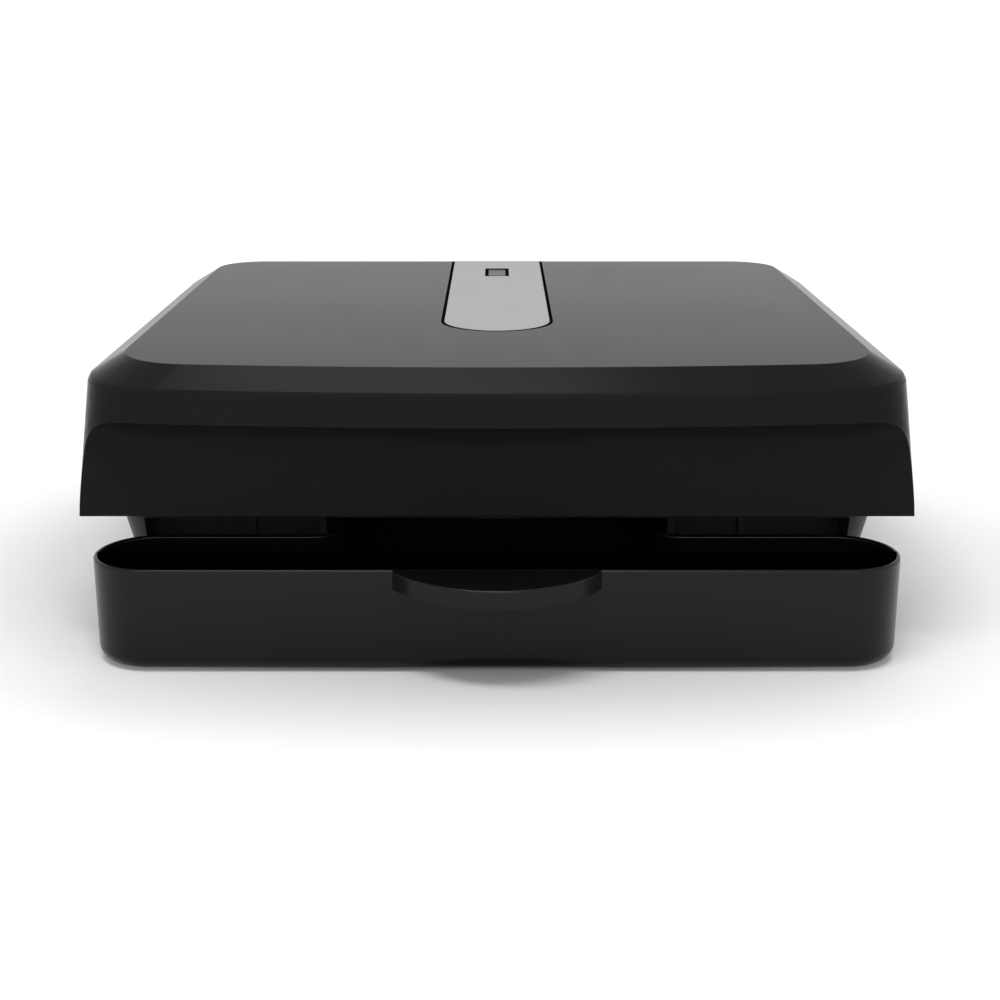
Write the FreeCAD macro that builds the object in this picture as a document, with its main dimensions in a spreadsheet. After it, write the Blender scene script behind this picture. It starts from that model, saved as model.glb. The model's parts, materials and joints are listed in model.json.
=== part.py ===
# Sandwich grill with a hinged floating lid and a slide-out drip tray.
# Millimetres, +Z up, the front faces -Y, X runs to the right.
# The origin is the middle of the foot print, on the surface that the feet stand on.
import FreeCAD, Part
import math
import os
import Sketcher

os.makedirs("parts", exist_ok=True)
doc = FreeCAD.newDocument("SandwichGrill")
sheet = doc.addObject("Spreadsheet::Sheet", "Sizes")

# Driving dimensions. A depth runs back from the front plane, where the brow of the lid and the
# front of the drip tray lie. A height runs up from the surface that the feet stand on.
sizes = {
    # Lid, outside
    "lid_width": 269.0,
    "lid_front": -3.0,
    "lid_rear": 243.5,
    "lid_rim_height": 46.8,
    "lid_side_height": 44.0,
    "lid_side_flare": 2.5,
    "lid_front_flare": 4.0,
    "lid_rear_flare": 1.5,
    "lid_front_radius": 15.0,
    "lid_rear_radius": 26.5,
    "crease_front_radius": 30.0,
    "crease_rear_radius": 24.0,
    "lid_crown_radius": 1000.0,
    "lid_wall": 2.5,
    "bevel_height": 7.2,
    "bevel_front": 6.5,
    "bevel_side": 12.0,
    "bevel_rear": 8.0,
    "bevel_wall_drop": 1.1,
    "bevel_wall_inset": 1.0,
    "top_front_radius": 25.0,
    "top_rear_radius": 18.0,
    "crease_softening": 1.2,
    # Finger recess under the brow
    "recess_depth": 18.7,
    "recess_radius": 13.0,
    "brow_height": 10.2,
    # Trim insert and pilot window
    "insert_width": 38.0,
    "insert_tip": 67.7,
    "insert_recess": 1.2,
    "insert_proud": 0.15,
    "insert_groove": 0.8,
    "pilot_front": 190.4,
    "pilot_length": 21.3,
    "pilot_width": 9.5,
    "pilot_bezel_wall": 1.1,
    "pilot_clearance": 0.3,
    "pilot_lens_flange": 1.5,
    "pilot_flange_thickness": 1.0,
    "lamp_radius": 2.0,
    "lamp_length": 14.0,
    "lamp_gap": 0.3,
    "lamp_sink": 1.0,
    "lamp_groove_gap": 0.05,
    "holder_length": 38.0,
    "holder_width": 12.0,
    "holder_thickness": 3.0,
    "holder_post_radius": 3.5,
    # Hinge
    "ear_offset": 78.0,
    "ear_width": 14.0,
    "ear_half_depth": 7.0,
    "ear_side_gap": 0.5,
    "ear_foot_height": 12.0,
    "axis_inset": 1.5,
    "axis_rise": 14.0,
    "float_travel": 12.0,
    "ear_top_margin": 5.0,
    "ear_sweep_gap": 2.0,
    "cheek_thickness": 4.0,
    "cheek_drop": 7.5,
    "knuckle_radius": 5.0,
    "heel_width": 5.0,
    "heel_drop": 2.4,
    "heel_gap": 0.5,
    "pin_radius": 2.5,
    "pin_slide_gap": 0.1,
    "pin_run_gap": 0.05,
    "pin_head_radius": 4.0,
    "pin_head_thickness": 1.5,
    "pin_end_gap": 0.3,
    "clip_thickness": 0.8,
    # Base housing
    "base_gap": 0.5,
    "base_side_inset": 6.6,
    "base_front": 37.7,
    "base_rear": 240.0,
    "base_side_taper": 7.4,
    "base_front_taper": 11.7,
    "base_rear_taper": 6.4,
    "base_front_radius": 9.0,
    "base_rear_radius": 18.0,
    "base_wall": 2.5,
    "tunnel_side_wall": 2.5,
    "base_ledge": 3.0,
    "ledge_overlap": 3.5,
    "base_roof": 1.5,
    "base_roof_gap": 0.3,
    "pocket_depth": 19.0,
    "pocket_side_inset": 9.4,
    "pocket_floor": 26.0,
    "rib_offset": 85.4,
    "rib_thickness": 4.0,
    "rib_setback": 4.6,
    "foot_height": 4.0,
    "foot_radius": 8.0,
    "foot_tip_radius": 6.5,
    "foot_stem_radius": 3.0,
    "foot_offset": 100.0,
    "foot_front_depth": 66.0,
    "foot_rear_depth": 222.0,
    "foot_stem_length": 5.0,
    "pillar_radius": 5.2,
    "pillar_offset": 104.0,
    "pillar_front_depth": 78.0,
    "pillar_rear_depth": 206.0,
    "pillar_drop": 4.3,
    "pillar_shelf": 4.0,
    # Drip tray
    "tray_width": 261.0,
    "tray_front": 0.5,
    "tray_wing_depth": 36.8,
    "tray_lift": 0.6,
    "tray_height": 34.1,
    "tray_wall": 2.0,
    "tray_bottom_fillet": 4.5,
    "tray_junction_radius": 8.0,
    "tongue_width": 109.0,
    "tongue_flange_front": 40.0,
    "tongue_rear": 80.0,
    "tongue_corner_radius": 8.0,
    "tray_flange_width": 2.2,
    "tray_flange_thickness": 2.0,
    "runner_overlap": 1.7,
    "runner_height": 2.4,
    "runner_front": 44.0,
    "runner_clearance": 0.1,
    "tray_side_clearance": 0.8,
    "tray_roof_clearance": 1.1,
    "tray_end_clearance": 3.0,
    "tab_width": 65.8,
    "tab_reach": 19.1,
    "tab_thickness": 6.2,
    # Grill plates
    "plate_side_inset": 13.5,
    "plate_front": 43.0,
    "plate_rear": 224.0,
    "plate_radius": 16.0,
    "plate_edge_gap": 0.6,
    "plate_flange_thickness": 2.5,
    "plate_flange_drop": 0.2,
    "plate_field_margin": 7.0,
    "plate_field_depth": 1.8,
    "plate_web_margin": 5.0,
    "plate_web_drop": 2.0,
    "rib_count": 17.0,
    "rib_pitch": 12.5,
    "rib_width": 3.0,
    "rib_rise": 2.3,
    "rib_tip_gap": 0.4,
    "rib_end_margin": 16.0,
    "channel_width": 5.0,
    "channel_depth": 0.9,
    "spout_width": 18.0,
    "spout_inset": 4.5,
    "spout_depth": 7.5,
    "spout_wall": 2.0,
    "spout_drop": 4.5,
    "spout_gap": 0.8,
    # Heating elements, heat shields and their clamps
    "element_radius": 3.25,
    "element_gap": 0.1,
    "element_offset": 62.0,
    "element_front": 104.0,
    "element_rear": 218.0,
    "element_bend": 24.0,
    "terminal_radius": 1.5,
    "terminal_length": 7.0,
    "shield_width": 204.0,
    "shield_front": 92.0,
    "shield_rear": 206.0,
    "shield_radius": 12.0,
    "shield_wall": 0.8,
    "shield_rim": 4.0,
    "shield_gap": 4.0,
    "clamp_length": 140.0,
    "clamp_width": 14.0,
    "clamp_thickness": 1.0,
    "clamp_boss_offset": 50.0,
    "clamp_front_depth": 128.0,
    "clamp_rear_depth": 184.0,
    "boss_radius": 4.0,
    "shield_boss_offset": 94.0,
    "shield_boss_front": 104.0,
    "shield_boss_rear": 196.0,
    # Thermostat, fuse, terminals, gland
    "thermostat_radius": 8.0,
    "thermostat_height": 6.5,
    "thermostat_depth": 156.0,
    "fuse_radius": 2.2,
    "fuse_length": 14.0,
    "fuse_offset": 40.0,
    "terminal_block_length": 34.0,
    "terminal_block_width": 12.0,
    "terminal_block_height": 11.0,
    "terminal_block_offset": -34.0,
    "terminal_block_depth": 218.0,
    "terminal_pitch": 11.0,
    "gland_offset": 30.0,
    "gland_centre_height": 20.0,
    "gland_radius": 6.0,
    "gland_flange_radius": 8.0,
    "gland_flange_thickness": 2.0,
    "gland_seat_radius": 9.5,
    "gland_seat_rear": 239.0,
    "gland_seat_length": 8.0,
    "gland_bore_radius": 3.3,
    "gland_inner_length": 6.0,
    "lead_radius": 1.25,
    # Lid frame, plate clips, bottom cover
    "frame_inset": 0.5,
    "frame_clearance": 0.6,
    "lid_boss_inset": 8.5,
    "lid_boss_front": 64.0,
    "lid_boss_rear": 200.0,
    "clip_reach": 6.0,
    "clip_width": 11.0,
    "clip_sheet": 1.0,
    "frame_thickness": 2.7,
    "cover_length": 130.0,
    "cover_depth": 76.0,
    "cover_front": 122.0,
    "cover_thickness": 1.6,
    "cover_lip": 8.0,
    "cover_clearance": 0.4,
    "cover_corner_radius": 6.0,
    "cover_boss_height": 7.0,
    # Screws
    "screw_radius": 1.6,
    "screw_head_radius": 3.2,
    "screw_head_height": 1.8,
    "screw_length": 8.0,
    "screw_socket_radius": 1.4,
    "screw_socket_depth": 1.0,
    "screw_hole_gap": 0.2,
    "boss_hole_extra": 1.5,
}

for row, (alias, number) in enumerate(sizes.items(), start=1):
    sheet.set(f"A{row}", alias)
    sheet.set(f"B{row}", str(number))
    sheet.setAlias(f"B{row}", alias)
doc.recompute()


class Size:
    """A length with its number and the sheet expression that gives it."""

    def __init__(self, number, text):
        self.number = number
        self.text = text

    def __add__(self, other):
        other = as_size(other)
        return Size(self.number + other.number, f"({self.text} + {other.text})")

    def __sub__(self, other):
        other = as_size(other)
        return Size(self.number - other.number, f"({self.text} - {other.text})")

    def __mul__(self, other):
        other = as_size(other)
        return Size(self.number * other.number, f"({self.text} * {other.text})")

    def __truediv__(self, other):
        other = as_size(other)
        return Size(self.number / other.number, f"({self.text} / {other.text})")

    def __neg__(self):
        return as_size(0) - self

    def __radd__(self, other):
        return as_size(other) + self

    def __rsub__(self, other):
        return as_size(other) - self

    def __rmul__(self, other):
        return as_size(other) * self

    def __float__(self):
        return self.number


def as_size(value):
    """A plain number as a Size; a Size as it is."""
    return value if isinstance(value, Size) else Size(float(value), f"{float(value):.6f}")


class Sheet:
    """Each alias of the sheet as a Size, such as at.lid_width."""


at = Sheet()
for alias in sizes:
    setattr(at, alias, Size(float(sheet.get(alias)), f"Sizes.{alias}"))


def bind(thing, name, value):
    """Ties a property or a constraint of an object to the sheet."""
    thing.setExpression(name, as_size(value).text)


# Places that several pieces share
overall_rear = at.lid_rear - at.axis_inset + at.ear_half_depth + 1.0
front_y = (at.tab_reach - at.tray_front - overall_rear) / 2


def back(depth):
    """Y of a depth behind the front plane."""
    return front_y + depth


rim_z = at.lid_rim_height
crease_z = rim_z + at.lid_side_height
top_z = crease_z + at.bevel_height
ceiling_z = top_z - at.lid_wall
recess_z = crease_z - at.brow_height
plate_width = at.lid_width - 2 * at.plate_side_inset
lid_boss_offset = at.lid_width / 2 - at.lid_boss_inset
base_width = at.lid_width - 2 * at.base_side_inset
pocket_side = base_width / 2 - at.pocket_side_inset
base_rim_z = rim_z - at.base_gap
axis_y = back(at.lid_rear - at.axis_inset)
axis_z = rim_z + at.axis_rise
ear_top_z = axis_z + at.float_travel + at.pin_radius + at.ear_top_margin
tray_top_z = at.tray_lift + at.tray_height
tunnel_z = tray_top_z + at.tray_roof_clearance
tunnel_half = at.tongue_width / 2 + at.tray_flange_width + at.tray_side_clearance
tunnel_rear = at.tongue_rear + at.tray_end_clearance
lower_flange_top = base_rim_z - at.plate_flange_drop
lower_flange_z = lower_flange_top - at.plate_flange_thickness
lower_back_z = lower_flange_z - at.plate_web_drop
lower_rib_tip = lower_flange_top - at.plate_field_depth + at.rib_rise
upper_rib_tip = lower_rib_tip + at.rib_tip_gap
upper_flange_z = upper_rib_tip + at.rib_rise - at.plate_field_depth
upper_flange_top = upper_flange_z + at.plate_flange_thickness
upper_back_z = upper_flange_top + at.plate_web_drop
frame_z = rim_z + at.frame_inset
insert_half = at.insert_width / 2
pilot_middle = at.pilot_front + at.pilot_length / 2

nodes = []


def node(thing, name):
    """Names a finished sub-part: its label is its file's name."""
    thing.Label = name
    nodes.append(thing)
    return thing


# Part primitives and booleans
def place(thing, x, y, z, rotation=None):
    thing.Placement = FreeCAD.Placement(
        FreeCAD.Vector(float(x), float(y), float(z)), rotation or FreeCAD.Rotation()
    )
    for axis, value in zip("xyz", (x, y, z)):
        bind(thing, f"Placement.Base.{axis}", value)


def block(name, x, y, z):
    """A box from its low and high X, Y and Z."""
    box = doc.addObject("Part::Box", name)
    for side, (low, high) in zip(("Length", "Width", "Height"), (x, y, z)):
        bind(box, side, as_size(high) - low)
    place(box, x[0], y[0], z[0])
    return box


AXES = {
    "x": FreeCAD.Rotation(FreeCAD.Vector(0, 1, 0), 90),
    "y": FreeCAD.Rotation(FreeCAD.Vector(1, 0, 0), -90),
    "z": FreeCAD.Rotation(),
    "down": FreeCAD.Rotation(FreeCAD.Vector(1, 0, 0), 180),
}


def cylinder(name, radius, start, length, axis="z"):
    """A cylinder from the centre of its first face, along an axis."""
    rod = doc.addObject("Part::Cylinder", name)
    bind(rod, "Radius", radius)
    bind(rod, "Height", length)
    place(rod, *start, rotation=AXES[axis])
    return rod


def cone(name, radius, end_radius, start, length, axis="z"):
    taper = doc.addObject("Part::Cone", name)
    bind(taper, "Radius1", radius)
    bind(taper, "Radius2", end_radius)
    bind(taper, "Height", length)
    place(taper, *start, rotation=AXES[axis])
    return taper


def fuse(name, pieces):
    joined = doc.addObject("Part::MultiFuse", name)
    joined.Shapes = pieces
    joined.Refine = True
    return joined


def cut(name, base, *tools):
    result = doc.addObject("Part::Cut", name)
    result.Base = base
    result.Tool = tools[0] if len(tools) == 1 else fuse(name + "_tools", list(tools))
    result.Refine = True
    return result


def common(name, base, tool):
    shared = doc.addObject("Part::Common", name)
    shared.Base = base
    shared.Tool = tool
    shared.Refine = True
    return shared


def group(name, pieces):
    """Separate solids that share one node."""
    together = doc.addObject("Part::Compound", name)
    together.Links = pieces
    return together


# PartDesign bodies
def new_body(name):
    return doc.addObject("PartDesign::Body", name)


def new_sketch(body, name, plane="XY_Plane", offset=0):
    sketch = body.newObject("Sketcher::SketchObject", name)
    origin = [item for item in body.Origin.OriginFeatures if item.Role == plane]
    sketch.AttachmentSupport = [(origin[0], "")]
    sketch.MapMode = "FlatFace"
    bind(sketch, "AttachmentOffset.Base.z", offset)
    return sketch


def name_distance(sketch, constraint, name, value):
    """Adds a driving constraint, named and tied to the sheet."""
    index = sketch.addConstraint(constraint)
    sketch.renameConstraint(index, name)
    bind(sketch, f"Constraints.{name}", value)


START, END, CENTRE = 1, 2, 3
ORIGIN = -1
Y_AXIS = -2


def arc(centre, radius, first, last):
    """A circle's arc, anticlockwise between two angles in degrees."""
    circle = Part.Circle(FreeCAD.Vector(*centre, 0), FreeCAD.Vector(0, 0, 1), radius)
    return Part.ArcOfCircle(circle, math.radians(first), math.radians(last))


def line(first, last):
    return Part.LineSegment(FreeCAD.Vector(*first, 0), FreeCAD.Vector(*last, 0))


def outline(body, name, height, half_width, front, rear, front_radius, rear_radius, crown=None):
    """A rounded outline, the same on both sides, with a straight front or one on a wide arc."""
    sketch = new_sketch(body, name, offset=height)
    half, near, far = float(half_width), float(front), float(rear)
    small, large = float(front_radius), float(rear_radius)
    if crown is None:
        lean = 0.0
        corner_y = near + small
        edge = line((small - half, near), (half - small, near))
    else:
        wide = float(crown)
        lean = math.degrees(math.asin((half - small) / (wide - small)))
        corner_y = near + wide - (wide - small) * math.cos(math.radians(lean))
        edge = arc((0, near + wide), wide, 270 - lean, 270 + lean)
    sketch.addGeometry(
        [
            edge,
            arc((half - small, corner_y), small, 270 + lean, 360),
            line((half, corner_y), (half, far - large)),
            arc((half - large, far - large), large, 0, 90),
            line((half - large, far), (large - half, far)),
            arc((large - half, far - large), large, 90, 180),
            line((-half, far - large), (-half, corner_y)),
            arc((small - half, corner_y), small, 180, 270 - lean),
        ]
    )
    for index in range(8):
        sketch.addConstraint(
            Sketcher.Constraint("Tangent", index, END, (index + 1) % 8, START)
        )
    for index in (2, 6):
        sketch.addConstraint(Sketcher.Constraint("Vertical", index))
    sketch.addConstraint(Sketcher.Constraint("Horizontal", 4))
    sketch.addConstraint(Sketcher.Constraint("Equal", 1, 7))
    sketch.addConstraint(Sketcher.Constraint("Equal", 3, 5))
    right = Sketcher.Constraint("DistanceX", ORIGIN, START, 2, START, half)
    left = Sketcher.Constraint("DistanceX", 6, START, ORIGIN, START, half)
    name_distance(sketch, right, "right", half_width)
    name_distance(sketch, left, "left", half_width)
    name_distance(sketch, Sketcher.Constraint("Radius", 1, small), "front_radius", front_radius)
    name_distance(sketch, Sketcher.Constraint("Radius", 3, large), "rear_radius", rear_radius)
    rear_side = Sketcher.Constraint("DistanceY", ORIGIN, START, 4, START, far)
    name_distance(sketch, rear_side, "rear", rear)
    if crown is None:
        sketch.addConstraint(Sketcher.Constraint("Horizontal", 0))
        front_side = Sketcher.Constraint("DistanceY", ORIGIN, START, 0, START, near)
        name_distance(sketch, front_side, "front", front)
    else:
        sketch.addConstraint(Sketcher.Constraint("PointOnObject", 0, CENTRE, Y_AXIS))
        name_distance(sketch, Sketcher.Constraint("Radius", 0, wide), "crown", crown)
        middle = Sketcher.Constraint("DistanceY", ORIGIN, START, 0, CENTRE, near + wide)
        name_distance(sketch, middle, "front", front + crown)
    return sketch


def rectangle(body, name, plane, offset, low, high):
    """A rectangle between two corners of the sketch's plane."""
    sketch = new_sketch(body, name, plane, offset)
    x0, y0, x1, y1 = float(low[0]), float(low[1]), float(high[0]), float(high[1])
    corners = [(x0, y0), (x1, y0), (x1, y1), (x0, y1)]
    for index in range(4):
        sketch.addGeometry(line(corners[index], corners[(index + 1) % 4]))
    for index in range(4):
        sketch.addConstraint(
            Sketcher.Constraint("Coincident", index, END, (index + 1) % 4, START)
        )
    for index, kind in enumerate(("Horizontal", "Vertical", "Horizontal", "Vertical")):
        sketch.addConstraint(Sketcher.Constraint(kind, index))
    for name_, kind, point, value in (
        ("low_x", "DistanceX", START, low[0]),
        ("low_y", "DistanceY", START, low[1]),
    ):
        name_distance(
            sketch, Sketcher.Constraint(kind, ORIGIN, START, 0, point, float(value)), name_, value
        )
    for name_, kind, value in (("high_x", "DistanceX", high[0]), ("high_y", "DistanceY", high[1])):
        name_distance(
            sketch, Sketcher.Constraint(kind, ORIGIN, START, 2, START, float(value)), name_, value
        )
    return sketch


def pad(body, sketch, name, length, down=False, middle=False):
    feature = body.newObject("PartDesign::Pad", name)
    feature.Profile = sketch
    bind(feature, "Length", length)
    feature.Reversed = down
    feature.Midplane = middle
    return feature


def loft(body, sketches, name):
    feature = body.newObject("PartDesign::AdditiveLoft", name)
    feature.Profile = sketches[0]
    feature.Sections = sketches[1:]
    feature.Ruled = True
    return feature


def fillet(body, name, radius, chosen):
    """Rounds the edges of the body so far for which chosen(edge) is true."""
    doc.recompute()
    base = body.Tip
    edges = [
        f"Edge{index}" for index, edge in enumerate(base.Shape.Edges, start=1) if chosen(edge)
    ]
    feature = body.newObject("PartDesign::Fillet", name)
    feature.Base = (base, edges)
    bind(feature, "Radius", radius)
    return feature


def level(edge, height):
    """True if a whole edge lies at one height."""
    return abs(edge.BoundBox.ZMin - float(height)) + abs(edge.BoundBox.ZMax - float(height)) < 0.02


def mirrored(name, make, offset):
    """The pieces that make(name, x) gives on the left and on the right."""
    return [make(f"{name}_left", -offset), make(f"{name}_right", offset)]


def four_places(x, front, rear):
    """The four points at an offset each side and at two depths."""
    return [(sign * x, back(depth)) for sign in (-1, 1) for depth in (front, rear)]


# Lid cover
def between(low, high, share):
    """The section at a share of the way between two sections."""
    return [first + (second - first) * share for first, second in zip(low, high)]


def lid_form(name, inset=0):
    """The closed form of the lid outside, or drawn in by inset for the space inside."""
    body = new_body(name)
    inset = as_size(inset)
    inside = float(inset) > 0
    thin = at.bevel_wall_inset if inside else as_size(0)
    drop = at.bevel_wall_drop if inside else as_size(0)
    crease_half = at.lid_width / 2 - at.lid_side_flare
    crease_front = at.lid_front + at.lid_front_flare
    crease_rear = at.lid_rear - at.lid_rear_flare
    rim = [
        rim_z, at.lid_width / 2 - inset, back(at.lid_front + inset), back(at.lid_rear - inset),
        at.lid_front_radius - inset, at.lid_rear_radius - inset,
    ]
    crease = [
        crease_z - drop, crease_half - inset, back(crease_front + inset),
        back(crease_rear - inset), at.crease_front_radius - inset,
        at.crease_rear_radius - inset,
    ]
    top = [
        top_z - inset, crease_half - at.bevel_side - thin,
        back(crease_front + at.bevel_front + thin), back(crease_rear - at.bevel_rear - thin),
        at.top_front_radius - thin, at.top_rear_radius - thin,
    ]
    if inside:
        levels = [rim, crease, top]
    else:
        soft = at.crease_softening
        below = between(rim, crease, 1 - soft / at.lid_side_height)
        above = between(crease, top, soft / (at.bevel_height + at.bevel_side))
        levels = [rim, below, above, top]
    crown = at.lid_crown_radius - inset
    sketches = [
        outline(body, f"{name}_level_{index}", *level_sizes, crown)
        for index, level_sizes in enumerate(levels)
    ]
    loft(body, sketches, name + "_loft")
    return body


def recess_form(name, depth, ceiling, radius):
    """A bar across the front of the lid with a round inner top edge."""
    body = new_body(name)
    sketch = new_sketch(body, name + "_section", "YZ_Plane")
    near = back(at.lid_front - at.lid_wall)
    low = rim_z - at.lid_wall
    y0, y1, z0, z1 = float(near), float(back(depth)), float(low), float(ceiling)
    r = float(radius)
    sketch.addGeometry(
        [
            line((y0, z0), (y1, z0)),
            line((y1, z0), (y1, z1 - r)),
            arc((y1 - r, z1 - r), r, 0, 90),
            line((y1 - r, z1), (y0, z1)),
            line((y0, z1), (y0, z0)),
        ]
    )
    for first, second, kind in (
        (0, 1, "Coincident"), (1, 2, "Tangent"), (2, 3, "Tangent"), (3, 4, "Coincident"),
        (4, 0, "Coincident"),
    ):
        sketch.addConstraint(Sketcher.Constraint(kind, first, END, second, START))
    for index, kind in ((0, "Horizontal"), (1, "Vertical"), (3, "Horizontal"), (4, "Vertical")):
        sketch.addConstraint(Sketcher.Constraint(kind, index))
    name_distance(sketch, Sketcher.Constraint("Radius", 2, r), "radius", radius)
    for label, kind, geometry, value in (
        ("near", "DistanceX", 0, near), ("low", "DistanceY", 0, low),
        ("far", "DistanceX", 1, back(depth)), ("ceiling", "DistanceY", 4, ceiling),
    ):
        constraint = Sketcher.Constraint(kind, ORIGIN, START, geometry, START, float(value))
        name_distance(sketch, constraint, label, value)
    pad(body, sketch, name + "_bar", at.lid_width + 2 * at.lid_wall, middle=True)
    return body


def tongue_prism(name, grow, low, high):
    """The upright form of the trim insert, grown all round; its tip is a half circle."""
    body = new_body(name)
    sketch = new_sketch(body, name + "_outline", offset=low)
    half_width = insert_half + grow
    tip = back(at.insert_tip - grow)
    rear = back(insert_rear + grow * 3)
    half, near, far = float(half_width), float(tip), float(rear)
    middle = near + half
    sketch.addGeometry(
        [
            arc((0, middle), half, 180, 360),
            line((half, middle), (half, far)),
            line((half, far), (-half, far)),
            line((-half, far), (-half, middle)),
        ]
    )
    for first, second, kind in (
        (0, 1, "Tangent"), (1, 2, "Coincident"), (2, 3, "Coincident"), (3, 0, "Tangent"),
    ):
        sketch.addConstraint(Sketcher.Constraint(kind, first, END, second, START))
    sketch.addConstraint(Sketcher.Constraint("Vertical", 1))
    sketch.addConstraint(Sketcher.Constraint("Horizontal", 2))
    sketch.addConstraint(Sketcher.Constraint("PointOnObject", 0, CENTRE, Y_AXIS))
    name_distance(sketch, Sketcher.Constraint("Radius", 0, half), "radius", half_width)
    centre = Sketcher.Constraint("DistanceY", ORIGIN, START, 0, CENTRE, middle)
    name_distance(sketch, centre, "centre", tip + half_width)
    end = Sketcher.Constraint("DistanceY", ORIGIN, START, 2, START, far)
    name_distance(sketch, end, "rear", rear)
    pad(body, sketch, name + "_prism", as_size(high) - low)
    return body


def pilot_block(name, grow, low, high):
    """A block as large as the pilot window, grown all round, between two heights."""
    half = at.pilot_width / 2 + grow
    near = back(at.pilot_front - grow)
    return block(name, (-half, half), (near, near + at.pilot_length + 2 * grow), (low, high))


def prism(name, half_width, front, rear, radius, low, high):
    """An upright prism on a rounded rectangle."""
    body = new_body(name)
    sketch = outline(
        body, name + "_outline", low, half_width, back(front), back(rear), radius, radius
    )
    pad(body, sketch, name + "_prism", as_size(high) - low)
    return body


def plate_prism(name, inset, low, high):
    """A prism on the outline of the grill plates, drawn in by inset."""
    return prism(
        name, plate_width / 2 - inset, at.plate_front + inset, at.plate_rear - inset,
        at.plate_radius - inset, low, high,
    )


def post(name, place_, low, high, radius):
    """A round post at an X and Y, between two heights."""
    x, y = place_
    return cylinder(name, radius, (x, y, low), as_size(high) - low)


def posts(name, places, low, high, radius):
    return [post(f"{name}_{i}", spot, low, high, radius) for i, spot in enumerate(places, 1)]


def screw(name, place_, z, up=True):
    """A pan head screw whose head bears at height z; the shank goes up or down from there."""
    x, y = place_
    head = at.screw_head_height
    head_z = z - head if up else as_size(z)
    shank_z = as_size(z) if up else z - at.screw_length
    socket_z = z - head if up else z + head - at.screw_socket_depth
    socket = doc.addObject("Part::Prism", name + "_socket")
    socket.Polygon = 6
    bind(socket, "Circumradius", at.screw_socket_radius)
    bind(socket, "Height", at.screw_socket_depth)
    place(socket, x, y, socket_z)
    shank = post(name + "_shank", place_, shank_z, shank_z + at.screw_length, at.screw_radius)
    top = post(name + "_head", place_, head_z, head_z + head, at.screw_head_radius)
    return cut(name, fuse(name + "_blank", [shank, top]), socket)


def screws(name, places, z, up=True):
    return group(name, [screw(f"{name}_{i}", spot, z, up) for i, spot in enumerate(places, 1)])


insert_rear = at.lid_rear - at.lid_rear_flare - at.bevel_rear
slot_half = at.ear_width / 2 + at.ear_side_gap
cheek_outer = slot_half + at.cheek_thickness
slot_top_z = ear_top_z + at.ear_sweep_gap
frame_top_z = frame_z + at.frame_thickness
clip_top_z = frame_top_z + at.clip_sheet
element_rise = at.element_gap + at.element_radius
lower_element_z = lower_back_z - element_rise
upper_element_z = upper_back_z + element_rise
lower_clamp_z = lower_element_z - element_rise
upper_clamp_z = upper_element_z + element_rise
lower_shield_z = lower_clamp_z - at.clamp_thickness - at.shield_gap
upper_shield_z = upper_clamp_z + at.clamp_thickness + at.shield_gap + at.shield_wall
lens_z = ceiling_z - at.pilot_flange_thickness
lamp_z = lens_z - at.pilot_flange_thickness - at.lamp_gap - at.lamp_radius
holder_z = lamp_z - at.lamp_sink
floor_z = at.foot_height + at.base_wall
hole_radius = at.screw_radius + at.screw_hole_gap
head_hole_radius = at.screw_head_radius + at.screw_hole_gap * 2
hole_depth = at.screw_length + at.boss_hole_extra
lid_boss_places = four_places(lid_boss_offset, at.lid_boss_front, at.lid_boss_rear)
shield_places = four_places(at.shield_boss_offset, at.shield_boss_front, at.shield_boss_rear)
pillar_places = four_places(at.pillar_offset, at.pillar_front_depth, at.pillar_rear_depth)
clamp_places = four_places(at.clamp_boss_offset, at.clamp_front_depth, at.clamp_rear_depth)
holder_places = [
    (sign * (at.holder_length / 2 - at.holder_post_radius), back(pilot_middle))
    for sign in (-1, 1)
]

lid_outer = lid_form("lid_outer")
lid_inner = cut(
    "lid_cavity",
    lid_form("lid_inner", at.lid_wall),
    recess_form(
        "recess_wall", at.recess_depth + at.lid_wall, recess_z + at.lid_wall,
        at.recess_radius + at.lid_wall,
    ),
)


def ear_slot(name, x):
    """The opening in the back wall of the lid that clears one ear."""
    y = (axis_y - at.ear_half_depth - at.ear_sweep_gap, axis_y + at.ear_half_depth)
    return block(name, (x - slot_half, x + slot_half), y, (frame_z - 1, slot_top_z))


def pin_window(name, x):
    """The opening beside the slot that clears the head and the clip of one pin."""
    half = cheek_outer + at.pin_head_thickness + 2 * at.pin_end_gap
    radius = at.pin_head_radius + at.pin_end_gap * 2
    y = (axis_y - radius, axis_y + radius)
    return block(name, (x - half, x + half), y, (axis_z - radius, axis_z + radius))


def cheek_pair(name, x):
    """The two walls of the lid that hold one hinge pin, each side of an ear."""
    y = (axis_y - at.cheek_drop, axis_y)
    z = (axis_z - at.cheek_drop, crease_z - at.lid_wall)
    pieces = []
    for side, low in (("near", x - cheek_outer), ("far", x + slot_half)):
        wall = (low, low + at.cheek_thickness)
        pieces.append(block(f"{name}_{side}", wall, y, z))
        pieces.append(
            cylinder(
                f"{name}_{side}_knuckle", at.knuckle_radius, (low, axis_y, axis_z),
                at.cheek_thickness, "x",
            )
        )
    return fuse(name, pieces)


def pin_bore(name, x):
    start = (x - cheek_outer - 1, axis_y, axis_z)
    return cylinder(name, at.pin_radius + at.pin_run_gap, start, 2 * cheek_outer + 2, "x")


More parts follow.
